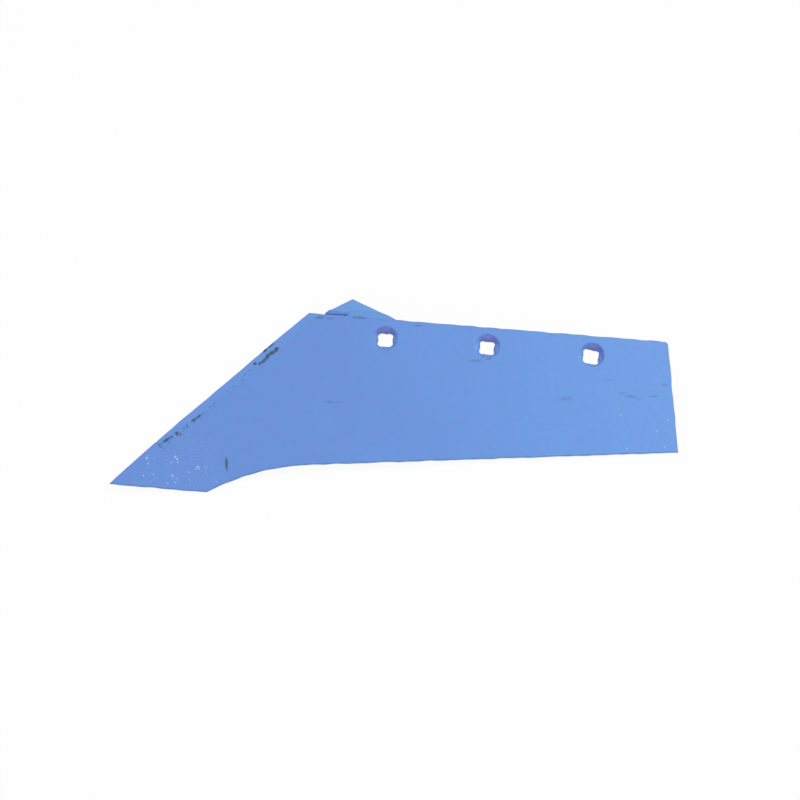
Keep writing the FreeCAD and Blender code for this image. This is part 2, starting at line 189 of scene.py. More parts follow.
holes = {
    "pitch": 87.2,
    "heelShift": 1.1,         # the hole at the heel stands beyond its pitch
    "inset": 16.8,            # top edge to the line of holes
    "first": 67.0,            # landside corner to the first hole
    "window": 14.0,           # half the side of the grid window that a hole's rings fill
    "windowSteps": 24,
    "sinkRadius": 10.3,       # countersink at the wearing face
    "sinkDepth": 2.7,
    "lip": 0.9,               # rolled-in edge of the countersink
    "lipSink": 0.75,          # depth of its roll, as a share of its width
    "lipTurn": 1.1,           # where the roll passes into the cone, radians
    "throat": 0.5,            # height of the rounding from the cone into the punched wall
    "flare": 0.7,             # how far the wall spreads at its foot
    "flareHeight": 0.6,
    "ragged": 0.05,           # height of the fine waves in the wall
    # radius = mean + lobes at the corners, less at the sides, taller than wide, askew, turned;
    # each dent is the bearing, depth and spread of a burr that stands in from the wall;
    # shadedCrescent is the bearing, in degrees, at the middle of the painted shade on the
    # countersink's side away from the light; shift is the hole's own, along the edge and outwards
    "punched": (
        {"mean": 7.36, "lobes": 0.74, "sharp": 0.02, "tall": 0.15, "askew": 0.0, "turn": 1.0,
         "dents": ((0, 0.35, 17), (180, 0.40, 17), (84, 0.62, 11)),
         "shadedCrescent": 90.0, "shift": (0.1, -0.15)},
        {"mean": 7.19, "lobes": 1.02, "sharp": 0.15, "tall": 0.28, "askew": 0.0, "turn": -1.5,
         "dents": ((2, 0.38, 15), (100, 0.08, 12), (252, 0.20, 12)),
         "shadedCrescent": 74.0, "shift": (-0.3, 0.1)},
        {"mean": 7.76, "lobes": 0.92, "sharp": 0.10, "tall": 0.25, "askew": -0.13, "turn": -4.0,
         "dents": ((-6, 0.55, 15), (78, 0.50, 15), (58, 0.25, 9)),
         "shadedCrescent": 60.0, "shift": (-0.2, -0.2)},
    ),
}

landside = {
    "plate": 5.0,
    "start": 50.0,            # tip to the plate's front, over the ground
    "toe": 7.0,               # height at which the front turns back
    "soleStart": 74.0,        # and where it meets the ground
    "arris": 0.6,
    "wander": 0.2,
    "seed": 23,
    "toeSteps": 12, "soleSteps": 88, "rows": 30,   # the grid of each side
    # how far the landside edge bows out: run from the tip over the ground, bow
    "bow": ((0.0, 0.25), (7.0, 0.7), (27.0, 1.1), (45.0, 1.4), (68.0, 1.6), (95.0, 1.25),
            (125.0, 0.9), (175.0, 0.8), (200.0, 0.25), (212.0, 0.0)),
}

nodeLow = np.array(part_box("share_blade")[0]) / mm
dip = atan2(blade["noseDrop"], blade["heelRun"])
tip = np.array([-blade["beakRun"], blade["beakRise"], 0.0])
corner = np.array([blade["cornerRun"], blade["noseDrop"] + blade["cornerWidth"], 0.0])
heelTop = np.array([blade["heelRun"], blade["noseDrop"] + blade["heelWidth"], 0.0])

# Blade frame: origin at the nose's lower corner, x along the cutting edge, z out of the face
bladeAxes = turned("x", blade["pitch"]) @ turned("z", -np.degrees(dip))
tipReach = bladeAxes @ tip
bladeOrigin = np.array([
    nodeLow[0] - tipReach[0],
    nodeLow[1],
    nodeLow[2] + blade["edgeFlat"] * cos(radians(blade["pitch"])),
])
bladePlace = (bladeOrigin, bladeAxes)

# Directions in the wearing face: along and square to the beak, the landside edge and the top edge
beakSide = unit(-tip)[:2]
beakInward = np.array([-beakSide[1], beakSide[0]])
landsideEdge = unit(corner - tip)[:2]
landsideInward = np.array([landsideEdge[1], -landsideEdge[0]])
edgeLength = float(np.linalg.norm(corner - tip))
topSlope = np.degrees(atan2(heelTop[1] - corner[1], heelTop[0] - corner[0]))
topSide = unit(heelTop - corner)[:2]
topInward = np.array([topSide[1], -topSide[0]])
topLength = float(np.linalg.norm(heelTop - corner))

# Columns of the blade's grid: a lead up to the first hole's window, even ones from there to the
# end of the last window, and the rest of the way to the heel
windowStep = 2 * holes["window"] / holes["windowSteps"]
windowStart = holes["first"] - holes["window"]
leadColumns = blade["beak"] + blade["arc"] + blade["straight"]
pitchColumns = round(holes["pitch"] / windowStep)
evenColumns = (len(holes["punched"]) - 1) * pitchColumns + holes["windowSteps"]
heelColumns = round((topLength - windowStart) / windowStep) - evenColumns

# Top edge frame: origin at the landside corner, x down the top edge, y away from the blade
topAxes = bladeAxes @ turned("z", topSlope)
topPlace = (moved(bladePlace, corner), topAxes)

# Landside frame: origin under the tip, x along the landside over the ground, y outwards
tipWorld, cornerWorld = moved(bladePlace, tip), moved(bladePlace, corner)
heading = np.degrees(atan2(*(cornerWorld - tipWorld)[1::-1]))
landsidePlace = (np.array([tipWorld[0], tipWorld[1], nodeLow[2]]), turned("z", heading))

# Wedge angle between the wearing face and the landside
inward = landsidePlace[1] @ np.array([0, -1, 0])
wedge = np.arcsin(sqrt(1 - float(bladeAxes[:, 2] @ inward) ** 2))
lean = 1 / tan(wedge)         # how far the sloping landside goes in, for each millimetre down

# Seam frame: along the line where the landside plate's inner side meets the wearing face
seamAxes = bladeAxes @ turned("z", np.degrees(atan2(landsideEdge[1], landsideEdge[0])))
seamOffset = landside["plate"] / sin(wedge)
seamPlace = (tipWorld - seamAxes[:, 1] * seamOffset, seamAxes)
grooveGap = seamOffset + blade["grooveWidth"]
print("blade frame at", bladeOrigin.round(3), "seam offset", round(seamOffset, 3))


def borderOf(rows, columns, stepRow=None, stepColumn=None):
    # Border points of a grid, anticlockwise from its first corner, each with the grid point inside
    # it. With a step, the grid's last rows begin at the step's column.
    ends = [(0, 0), (0, columns - 1), (rows - 1, columns - 1)]
    if stepRow is None:
        ends.append((rows - 1, 0))
    else:
        ends += [(rows - 1, stepColumn), (stepRow, stepColumn), (stepRow, 0)]
    sides = [between(a, b, abs(a[0] - b[0]) + abs(a[1] - b[1]))[:-1]
             for a, b in zip(ends, ends[1:] + ends[:1])]
    row, column = np.rint(np.concatenate(sides)).astype(int).T
    insideRow, insideColumn = row.clip(1, rows - 2), column.clip(1, columns - 2)
    if stepRow is not None:
        near = (row >= stepRow) & (column <= stepColumn)
        insideRow = np.where(near & (row == stepRow), stepRow - 1, insideRow)
        insideColumn = np.where(near & ((row > stepRow) | (column == stepColumn)),
                                stepColumn + 1, insideColumn)
    return (row, column), (insideRow, insideColumn)


def drawnIn(border, inside, distance):
    # Moves that bring border points towards the grid points inside them, until they are the
    # given distance from the nearer of their two sides, but at most three times that distance
    ahead = unit(np.roll(border, -1, 0) - border)
    behind = np.roll(ahead, 1, 0)
    inwards = inside - border
    gaps = [np.linalg.norm(inwards - (inwards * side).sum(-1, keepdims=True) * side, axis=-1)
            for side in (ahead, behind)]
    gap = np.maximum(np.minimum(*gaps), np.linalg.norm(inwards, axis=-1) / 3)
    return inwards * (distance / gap)[:, None]


def plateMesh(upper, lower, arris, border, edgeDarkness=(1.0, 1.0), wallSteps=3, roundSteps=3):
    # Closed plate from the grids of its two faces. Both borders are drawn in by the arris's
    # radius and joined by quarter rounds, point = corner + inwards r(1 - sin a) + down r(1 - cos a),
    # with a straight wall between the rounds. Returns the points, the ids of both grids, the
    # faces of the rim and each point's wear: edgeDarkness gives the upper and the lower edge's.
    at, inside = border
    upperBorder, lowerBorder = upper[at], lower[at]
    upperIn = drawnIn(upperBorder, upper[inside], arris)
    lowerIn = drawnIn(lowerBorder, lower[inside], arris)
    down = unit(lowerBorder - upperBorder)
    angle = np.linspace(0, pi / 2, roundSteps + 1)[:, None, None]
    inwards, downwards = 1 - np.sin(angle), arris * (1 - np.cos(angle))
    topRound = upperBorder + upperIn * inwards + down * downwards
    footRound = (lowerBorder + lowerIn * inwards - down * downwards)[::-1]
    share = np.linspace(0, 1, wallSteps + 1)[1:-1, None, None]
    wall = topRound[-1] * (1 - share) + footRound[0] * share
    rings = np.concatenate([topRound, wall, footRound])

    points = np.concatenate([upper.reshape(-1, 3), lower.reshape(-1, 3), rings[1:-1].reshape(-1, 3)])
    upperIds = numbered(upper.shape[:2])
    lowerIds = upperIds + upperIds.size
    points[upperIds[at]] = rings[0]
    points[lowerIds[at]] = rings[-1]
    middleIds = numbered((len(rings) - 2, len(at[0])), 2 * upperIds.size)
    ringIds = np.concatenate([upperIds[at][None], middleIds, lowerIds[at][None]])
    onRound = np.zeros(len(points))
    onRound[ringIds[:roundSteps]] = edgeDarkness[0]
    onRound[ringIds[-roundSteps:]] = edgeDarkness[1]
    return points, upperIds, lowerIds, ringFaces(ringIds)[:, ::-1], onRound


def plateSides(upperIds, lowerIds, kept=slice(None)):
    # Faces of a plate's two sides, the lower ones turned over
    return [gridFaces(upperIds)[kept], gridFaces(lowerIds)[kept][:, ::-1]]


def strayed(upper, lower, reach, seed, border, share):
    # Border points of both faces moved in or out together by a slow wave along the border, so
    # that sheared edges aren't dead straight; share says where, from 0 to 1
    at, inside = border
    edge = upper[at]
    run = np.cumsum(np.linalg.norm(edge - np.roll(edge, 1, 0), axis=-1))
    shift = drawnIn(edge, upper[inside], 1.0)
    height = reach * share * waver(run, 26, seed) / np.linalg.norm(shift, axis=-1).clip(1)
    upper[at] += shift * height[:, None]
    lower[at] += shift * height[:, None]


def edgeRail(distance):
    # Line at a distance inside the cutting edge. Its first point lies on the landside edge and the
    # second on the groove's line; then it follows the beak, the run-out arc with its radius grown
    # by the distance, and the straight edge.
    climb = beakInward @ landsideEdge
    outer = tip[:2] + landsideEdge * distance / climb
    along = (distance - grooveGap * (beakInward @ landsideInward)) / climb
    inner = tip[:2] + landsideInward * grooveGap + landsideEdge * along
    radius = blade["runOutRadius"] + distance
    centre = np.array([sqrt(2 * blade["runOutRadius"] * blade["noseDrop"] - blade["noseDrop"] ** 2),
                       blade["noseDrop"] - blade["runOutRadius"]])
    above = distance - beakInward @ centre
    nose = centre + beakInward * above - beakSide * sqrt(radius ** 2 - above ** 2)
    angle = np.linspace(atan2(*(nose - centre)[::-1]), pi / 2, blade["arc"] + 1)
    arc = centre + radius * np.stack([np.cos(angle), np.sin(angle)], -1)
    bend = arc[-1] + np.array([windowStart * blade["straightRun"], 0])
    end = np.array([blade["heelRun"], blade["noseDrop"] + distance])
    return np.concatenate([[outer], between(inner, nose, blade["beak"])[:-1], arc[:-1],
                           between(arc[-1], bend, blade["straight"])[:-1],
                           between(bend, end, evenColumns + heelColumns)])


def topRail(inset):
    # Line parallel to the top edge at an inset, with its first points on the landside edge and
    # the groove's line, as in edgeRail, and its last one on the heel
    lost = inset * (topInward @ landsideInward)
    outer = -lost / (topSide @ landsideInward)
    inner = (grooveGap - lost) / (topSide @ landsideInward)
    heel = topLength - inset * topInward[0] / topSide[0]
    evenEnd = windowStart + evenColumns * windowStep
    places = np.concatenate([
        [[outer]],
        between([inner], [windowStart], leadColumns)[:-1],
        between([windowStart], [evenEnd], evenColumns)[:-1],
        between([evenEnd], [heel], heelColumns),
    ])
    return corner[:2] + places * topSide + inset * topInward


def stepPoint(offset):
    # Point of the wearing face at an offset inside the landside edge, in the plane of the landside
    # plate's front, where the blade steps in to make room for it
    start = tip[:2] + landsideInward * offset
    ends = np.array([[*start, 0.0], [*(start + landsideEdge), 0.0]])
    here, there = localTo(landsidePlace, moved(bladePlace, ends))[:, 0]
    return start + landsideEdge * (landside["start"] - here) / (there - here)


def bowOut(points):
    # How far a point of the landside frame goes out with the bow: all of it at the outer side,
    # dying away to nothing at the landside plate's inner side
    bow = np.interp(points[..., 0], *zip(*landside["bow"]))
    return bow * (1 + points[..., 1] / landside["plate"]).clip(0, 1)


def faceGrid():
    # Flat grid of the wearing face. Rows run between rails: the cutting edge, the bevel's border,
    # the holes' windows and the top edge. Columns begin on the groove's line, and up to the step
    # a strip of further columns reaches out to the landside edge.
    bevel, soft = blade["bevelWidth"], blade["bevelRound"]
    crease, shelf = edgeRail(bevel + soft), topRail(holes["inset"] + holes["window"])
    climbed = (stepPoint(grooveGap) - crease[1]) @ landsideEdge
    toStep = climbed / ((shelf[1] - crease[1]) @ landsideEdge)
    middle = np.concatenate([np.linspace(0, toStep, blade["nose"] + 1),
                             np.linspace(toStep, 1, blade["middle"] + 1)[1:]])
    rails = [edgeRail(0), edgeRail(bevel - soft), edgeRail(bevel), crease, shelf,
             topRail(holes["inset"] - holes["window"]), topRail(0)]
    shares = [np.linspace(0, 1, blade["bevel"] + 1), [0, 1], [0, 1], middle,
              np.linspace(0, 1, holes["windowSteps"] + 1), [0, blade["rimRow"], 1]]
    flat = rails[0][None]
    for start, end, share in zip(rails, rails[1:], shares):
        share = np.array(share)[1:, None, None]
        flat = np.concatenate([flat, start * (1 - share) + end * share])

    creaseRow = blade["bevel"] + 2
    stepRow = creaseRow + blade["nose"]
    outer = flat[:, :1]
    outer[creaseRow:stepRow + 1, 0] = between(outer[creaseRow, 0], stepPoint(0.0), blade["nose"])
    outer[stepRow + 1:] = flat[stepRow + 1:, 1:2]
    share = (np.arange(blade["strip"]) / blade["strip"])[None, :, None]
    flat = np.hstack([outer * (1 - share) + flat[:, 1:2] * share, flat[:, 1:]])
    return roundedHeel(flat), creaseRow, stepRow


def bladeFaces():
    # Upper and lower grids of the blade, and the step's row. The lower face is the upper one
    # lowered by the plate's thickness, less over the bevel, and drawn in under the sloping
    # landside wall.
    flat, creaseRow, stepRow = faceGrid()
    rows, columns = flat.shape[:2]

    # Depth of the lower face: edge flat to full thickness across the bevel
    depth = np.full(rows, blade["plate"])
    bevel = blade["bevelWidth"]
    bevelShare = np.linspace(0, 1, blade["bevel"] + 1) * (bevel - blade["bevelRound"]) / bevel
    depth[:creaseRow - 1] = blade["edgeFlat"] + (blade["plate"] - blade["edgeFlat"]) * bevelShare

    # Draw-in square to the landside edge, and its slant along that edge: the draw-in follows the
    # cutting and top edges at the two ends and is upright at the step
    full = lean * blade["plate"]
    atGroove = (seamOffset + full - grooveGap) / full
    drawIn = np.interp(np.arange(columns), [0, blade["strip"], blade["strip"] + blade["fade"]],
                       [1.0, atGroove, 0.0])
    plumb = bladeAxes.T @ np.array([0, 0, -1.0])
    upright = (plumb[:2] @ landsideEdge) / (plumb[:2] @ landsideInward)
    level = (topSide @ landsideEdge) / (topSide @ landsideInward)
    slant = np.interp(np.arange(rows), [0, creaseRow, stepRow, rows - 1],
                      [level, level, upright, level])
    square = (lean * depth)[:, None] * drawIn
    shift = square[..., None] * (landsideInward + slant[:, None, None] * landsideEdge)
    upper = np.dstack([flat, np.zeros((rows, columns))])
    lower = np.dstack([flat + shift, np.broadcast_to(-depth[:, None], (rows, columns))])
    return upper, lower, stepRow


def roundedHeel(flat):
    # The square beside the heel's upper corner is squeezed on to a quarter disc: q max(q) / |q|
    radius = blade["heelCorner"]
    basis = np.array([topSide, [0, 1]])
    inner = heelTop[:2] - radius * basis.sum(0)
    q = (flat - inner) @ np.linalg.inv(basis) / radius
    inside = (q.min(-1) > 0) & (q.max(-1) < 1.001)
    length = np.linalg.norm(q, axis=-1).clip(1e-6)
    squeezed = inner + (q * (q.max(-1) / length)[..., None] * radius) @ basis
    return np.where(inside[..., None], squeezed, flat)


def wallRadius(angle, punched):
    # Radius of a punched wall at each bearing a = mean + lobes cos 4(a - 45) + sharp cos 8(a - 45)
    # - tall cos 2a + askew sin 2a - the dents, each a bell over the bearing, + fine waves. The
    # waves are returned alone as well.
    own = angle - radians(punched["turn"])
    quarter = own - radians(45)
    wall = punched["mean"] + punched["lobes"] * np.cos(4 * quarter)
    wall = wall + punched["sharp"] * np.cos(8 * quarter)
    wall = wall - punched["tall"] * np.cos(2 * own) + punched["askew"] * np.sin(2 * own)
    for at, height, spread in punched["dents"]:
        away = np.degrees(np.angle(np.exp(1j * (own - radians(at)))))
        wall = wall - height * np.exp(-(away / spread) ** 2)
    waves = ((9, 1.3), (14, 4.1), (23, 0.4))      # how many go round, and their phases
    ragged = holes["ragged"] * sum(np.sin(count * own + phase) for count, phase in waves)
    return wall + ragged, ragged


def holeRings(upperLoop, lowerLoop, centre, punched):
    # Rings from a window's border in to the countersink, down its cone and the punched wall, and
    # out again below, with each point's share of painted shade in the countersink and at its edge
    basis = np.array([topSide, [-topSide[1], topSide[0]]])
    offset = (upperLoop[:, :2] - centre) @ basis.T
    angle = np.arctan2(offset[:, 1], offset[:, 0])
    bearing = np.stack([np.cos(angle), np.sin(angle)], -1) @ basis

    def ring(radius, height):
        radius = np.broadcast_to(radius, angle.shape)[:, None]
        height = np.broadcast_to(height, angle.shape)[:, None]
        return np.hstack([centre + bearing * radius, height])

    # The profile, each ring's radius and height
    wall, ragged = wallRadius(angle, punched)
    sink, lip, throat, foot = holes["sinkRadius"], holes["lip"], holes["throat"], blade["plate"]
    seat = np.minimum(holes["sinkDepth"], sink - wall + 0.3)    # where the cone meets the wall
    rolled = [(sink + lip * (1 - sin(a)), -holes["lipSink"] * lip * (1 - cos(a)))
              for a in (0.35, 0.7, holes["lipTurn"])]
    start, startHeight = rolled[-1]
    cone = [(start + (wall + 0.35 - start) * t, startHeight + (-seat - startHeight) * t)
            for t in (0.25, 0.5, 0.75, 0.97)]
    neck = [(wall + 0.1, -seat - 0.12), (wall, -seat - throat)]
    drop = foot - holes["flareHeight"] - throat - seat
    shaft = [(wall + 1.6 * ragged * t * (1 - t), -seat - throat - drop * t)
             for t in (0.33, 0.66, 1.0)]
    flare = [(wall + 0.18, -foot + 0.18), (wall + holes["flare"], -foot)]
    outer = [upperLoop * (1 - t) + ring(sink + lip, 0.0) * t for t in (0.35, 0.7, 1.0)]
    below = [lowerLoop * (1 - t) + ring(wall + 1.6, -foot) * t for t in (1.0, 0.5)]
    profile = [ring(*place) for place in rolled + cone + neck + shaft + flare]
    rings = np.stack(outer + profile + below)

    # Painted shade, deep violet, lies on the countersink's side away from the light: share =
    # cos^1.3 of the bearing from there. The wall's upper edge gets a dark line of painted shade.
    crescentShade, edgeDarkness = np.zeros(rings.shape[:2]), np.zeros(rings.shape[:2])
    edge = len(outer + rolled + cone)
    crescentShade[len(outer) + 1:edge + 4] = np.cos(angle - radians(punched["shadedCrescent"])).clip(0) ** 1.3
    edgeDarkness[edge - 2], edgeDarkness[edge - 1:edge + 2] = 0.4, 1.0
    return rings, crescentShade, edgeDarkness


def holeCentre(index):
    # Middle of a hole on the wearing face: the pitch along the line of holes, and its own shift
    atHeel = index == len(holes["punched"]) - 1
    along = holes["first"] + index * holes["pitch"] + (holes["heelShift"] if atHeel else 0.0)
    shiftAlong, shiftOut = holes["punched"][index]["shift"]
    return corner[:2] + topSide * (along + shiftAlong) + topInward * (holes["inset"] - shiftOut)


def makeBlade(material):
    # Plate between its two grids. The edges wander, the landside edge bows out, and in each
    # hole's window the faces give way to the hole's rings.
    upper, lower, stepRow = bladeFaces()
    rows, columns = upper.shape[:2]
    strip, side = blade["strip"], holes["windowSteps"]
    border = borderOf(rows, columns, stepRow, strip)
    row, column = border[0]
    # No wandering beside the landside plate or at the sharp corners
    share = np.where((row > 0) & (column <= strip), 0.0, 1.0)
    strayed(upper, lower, blade["wander"], blade["seed"], border, share)
    for face in (upper, lower):
        bow = bowOut(localTo(landsidePlace, moved(bladePlace, face))) / sin(wedge)
        face[..., :2] -= landsideInward * bow[..., None]
    # No wear beside the welds
    down = localTo(topPlace, moved(bladePlace, upper[border[0]]))[:, 0]
    byLug = (row == rows - 1) & (down > lug["start"] - 1) & (down < lugEnd)
    free = ~(byLug | (row >= stepRow) & (column <= strip))
    points, upperIds, lowerIds, rim, onRound = plateMesh(upper, lower, blade["arris"], border,
                                                         (free, free))
    kept = np.ones((rows - 1, columns - 1), bool)
    kept[stepRow:, :strip] = False
    faces, allPoints, wornAndShadedEdges, crescentShade = [rim], [points], [onRound], [0 * onRound]
    count = len(points)
    firstRow = stepRow + blade["middle"]
    for index, punched in enumerate(holes["punched"]):
        firstColumn = strip + leadColumns + index * pitchColumns
        kept[firstRow:firstRow + side, firstColumn:firstColumn + side] = False
        loopRow, loopColumn = borderOf(side + 1, side + 1)[0]
        loop = (loopRow + firstRow, loopColumn + firstColumn)
        rings, crescentShadeShare, edgeDarkness = holeRings(points[upperIds[loop]], points[lowerIds[loop]],
                                       holeCentre(index), punched)
        ids = numbered(rings.shape[:2], count)
        faces.append(ringFaces(np.concatenate([upperIds[loop][None], ids, lowerIds[loop][None]])))
        allPoints.append(rings.reshape(-1, 3))
        wornAndShadedEdges.append(edgeDarkness.ravel())
        crescentShade.append(crescentShadeShare.ravel())
        count += ids.size
    faces += plateSides(upperIds, lowerIds, kept.ravel())
    # The points carry their edge wear, with the dark line at the holes' walls as painted shade, and
    # the countersinks' painted shade
    newPiece("bladePlate", moved(bladePlace, np.concatenate(allPoints)), np.concatenate(faces),
             material, "share_blade",
             {"arris": np.concatenate(wornAndShadedEdges), "shadedCrescent": np.concatenate(crescentShade)})


def makeLandside(material):
    # Upright plate. Each side is a grid between the sole, with the turned-back toe, and the line
    # where the wearing face cuts it; the rear is cut by the plane of the blade's top edge.
    faceNormal = landsidePlace[1].T @ bladeAxes[:, 2]
    rearNormal = landsidePlace[1].T @ topAxes[:, 1]
    tipHere, cornerHere = localTo(landsidePlace, tipWorld), localTo(landsidePlace, cornerWorld)
    start, toeSteps, soleSteps = landside["start"], landside["toeSteps"], landside["soleSteps"]

    def side(y):
        fromTip = faceNormal[0] * (start - tipHere[0]) + faceNormal[1] * (y - tipHere[1])
        frontTop = [start, tipHere[2] - fromTip / faceNormal[2]]
        matrix = np.array([faceNormal[[0, 2]], rearNormal[[0, 2]]])
        given = np.array([faceNormal @ tipHere - faceNormal[1] * y,
                          rearNormal @ cornerHere - rearNormal[1] * y])
        rearTop = np.linalg.solve(matrix, given)
        rearFoot = [given[1] / rearNormal[0], 0.0]
        turn = [landside["soleStart"], 0.0]
        toe = between([start, landside["toe"]], turn, toeSteps)
        foot = np.concatenate([toe[:-1], between(turn, rearFoot, soleSteps)])
        top = between(frontTop, rearTop, toeSteps + soleSteps)
        share = np.linspace(0, 1, landside["rows"] + 1)[:, None, None]
        flat = foot * (1 - share) + top * share
        points = np.dstack([flat[..., 0], np.full(flat.shape[:2], y), flat[..., 1]])
        bow = bowOut(points)
        points[..., 1] += bow
        # The upper rows stay in the wearing face
        points[..., 2] -= share[..., 0] * bow * faceNormal[1] / faceNormal[2]
        return points

    # Seen from outside the landside the grid's rows run against the clock, so they are turned
    upper, lower = side(0.0)[:, ::-1], side(-landside["plate"])[:, ::-1]
    rows, columns = upper.shape[:2]
    border = borderOf(rows, columns)
    row, column = border[0]
    share = (row / (rows - 1)) ** 2               # the sole stays straight
    strayed(upper, lower, landside["wander"], landside["seed"], border, share)
    seen = column < columns - 1                   # the front edge is welded to the blade
    points, upperIds, lowerIds, rim, onRound = plateMesh(upper, lower, landside["arris"], border,
                                                         (seen, seen & (row < rows - 1)))
    faces = np.concatenate([rim, *plateSides(upperIds, lowerIds)])
    newPiece("landsidePlate", moved(landsidePlace, points), faces, material,
             "landside_plate", {"arris": onRound})


lug = {
    "plate": 10.0,
    "tilt": 25.0,             # leans back from the blade, degrees
    "start": 13.4,            # landside corner to the lug, along the top edge
    "left": 22.2,             # near corner to the foot of its peak, and from there to the far one
    "right": 32.6,
    "depth": 17.2,            # peak from the base line
    "stand": 8.7,             # upper face above the blade's rear upper edge
    "nip": (4.0, 1.0),        # the near corner's cut: along the top edge, and out from it
    "droop": (3.2, 4.8),      # how far the near corner is melted down, and over what length
    "arris": 0.5,
    "wander": 0.12,
    "seed": 37,
    "rows": 20, "columns": 60,
    "crowding": 1.4,          # columns stand closer towards the near corner
    "notchLightBand": 0.45,         # painted light lies this near to the notch's wall
}
lugAxes = topAxes @ turned("x", -lug["tilt"])
lugPlace = (topPlace[0] - topAxes[:, 2] * blade["plate"], lugAxes)
lugEnd = lug["start"] + lug["left"] + lug["right"]


def makeLug(material):
    # Three-cornered plate: rows run from its base line to the line from its cut near corner to its
    # peak. The upper face sinks towards the near corner as droop (1 - x / length)^2.
    peak, far = [lug["left"], lug["depth"]], [lug["left"] + lug["right"], 0.0]
    share = np.linspace(0, 1, lug["rows"] + 1)[:, None, None]
    spread = np.linspace(0, 1, lug["columns"] + 1)[:, None] ** lug["crowding"]
    base, slope = (np.array(start) * (1 - spread) + np.array(end) * spread
                   for start, end in (((0.0, 0.0), far), (lug["nip"], peak)))
    flat = base * (1 - share) + slope * share
    depth, reach = lug["droop"]
    melted = depth * (1 - flat[..., 0] / reach).clip(0) ** 2
    flat = flat + np.array([lug["start"], 0.0])
    upper = np.dstack([flat, lug["stand"] - melted])
    lower = np.dstack([flat, np.full(flat.shape[:2], lug["stand"] - lug["plate"])])
    border = borderOf(*upper.shape[:2])
    strayed(upper, lower, lug["wander"], lug["seed"], border, np.where(border[0][0] > 0, 1.0, 0.0))
    points, upperIds, lowerIds, rim, onRound = plateMesh(upper, lower, lug["arris"], border)
    faces = np.concatenate([rim, *plateSides(upperIds, lowerIds)])
    # Painted light on the lug's wall in the notch, which lies in shade: paler paint there
    notchLight = (np.abs(points[:, 1]) < lug["notchLightBand"]) & (points[:, 2] < lug["stand"] - 0.1)
    newPiece("frogLug", moved(lugPlace, points), faces, material, "frog_lug",
             {"arris": onRound, "notchLight": notchLight})


beads = {
    "step": 0.42,             # between a bead's sections
    "across": 16,             # faces from toe to toe
    "waves": (11, 14, 17, 23, 7),   # periods: the two toes' strays, the pace, crown and ripple
    "crescent": 2.2,          # how far a ripple curves between its middle and its toes
    # leg and toe reach from the root along the blade, over past its edge, and lap along the lug;
    # pitch is a ripple's length, caps are the lengths of the rounded ends, and dustAndPaintedLight is
    # the share of the notch's painted light on the bead
    "inner": {"leg": 6.0, "crown": 0.9, "ripple": 0.32, "pitch": 3.1, "wander": 0.45,
              "start": 64.0, "end": 16.0, "caps": (5.0, 5.0), "seed": 41},
    "top": {"toe": 10.05, "over": 0.9, "lap": 3.2, "crown": 0.8, "ripple": 0.16, "pitch": 3.0,
            "wander": 0.3, "start": 30.4, "root": 2.0, "caps": (5.0, 0.8), "seed": 43},
    "root": {"start": 11.2, "wander": 0.2, "crown": 0.5, "ripple": 0.12, "pitch": 2.8,
             "under": 0.8,    # how far it runs in under the top bead
             "caps": (3.0, 0.6), "seed": 61, "dustAndPaintedLight": 0.15,
             # distance along the notch, and how far the bead fills it there
             "rise": ((0.0, 2.2), (2.3, 3.4), (11.8, 4.6), (23.0, 5.5))},
    "under": {"leg": 7.0, "lap": 4.0, "crown": 0.9, "ripple": 0.3, "pitch": 3.0, "wander": 0.4,
              "start": 20.2, "end": 8.0, "caps": (4.5, 4.5), "seed": 47},
}


def beadRun(length):
    # Places of a bead's sections along it
    return np.linspace(0, length, int(length / beads["step"]) + 1)


def makeBead(name, place, length, toes, root, spec, material, replaced, skew=0.0):
    # Weld bead along x. Its section bulges between the toes as crown 4v(1 - v), ripples follow
    # |sin| of (run + a crescent in v) / pitch, the toes wander, and each end shrinks on to the
    # root as a quarter round. With a skew the far end is cut aslant: points move along x by the
    # skew times y, more and more towards that end.
    run = beadRun(length)[:, None]
    v = np.linspace(0, 1, beads["across"] + 1)[None, :]
    first, second = (np.broadcast_to(np.array(toe, float), (len(run), 2)) for toe in toes)
    root = np.array(root, float)
    chord = unit(second - first)
    outward = np.stack([chord[:, 1], -chord[:, 0]], -1)
    outward = outward * np.sign(((first - root) * outward).sum(-1) + 1e-9)[:, None]
    strayFirst, straySecond, drift, swell, rise = (
        waver(run, size, spec["seed"] + index) for index, size in enumerate(beads["waves"]))
    stray = spec["wander"] * ((1 - v) * strayFirst + v * straySecond)
    line = first[:, None] * (1 - v[..., None]) + second[:, None] * v[..., None]
    line = line + chord[:, None] * stray[..., None]
    phase = (run + 0.5 * drift + beads["crescent"] * (2 * v - 1) ** 2) / spec["pitch"]
    height = spec["crown"] * (1 + 0.15 * swell) * 4 * v * (1 - v)
    ripple = spec["ripple"] * (1 + 0.3 * rise)
    height = height + ripple * (np.abs(np.sin(pi * phase)) ** 0.7 - 0.5) * np.sin(pi * v) ** 0.5
    section = line + outward[:, None] * height[..., None]
    section = np.concatenate([section, np.broadcast_to(root, (len(run), 1, 2))], 1)
    nearCap, farCap = spec["caps"]
    scale = quarterRound(np.minimum(run / nearCap, (length - run) / farCap))
    section = root + (section - root) * scale[..., None]
    along = spec["start"] + run + skew * section[..., 0] * (run / length) ** 2
    points = np.dstack([along, section])
    ids = numbered(points.shape[:2])
    faces = gathered(gathered(ringFaces(ids), ids[0]), ids[-1])
    middle = len(run) // 2
    if np.cross(first[middle] - root, second[middle] - root) < 0:
        faces = faces[:, ::-1]
    # Share of the notch's painted light on the bead
    notchLight = np.full(ids.size, spec.get("dustAndPaintedLight", 0.0))
    newPiece(name, moved(place, points.reshape(-1, 3)), faces, material, replaced,
             {"notchLight": notchLight}, weighted=False)


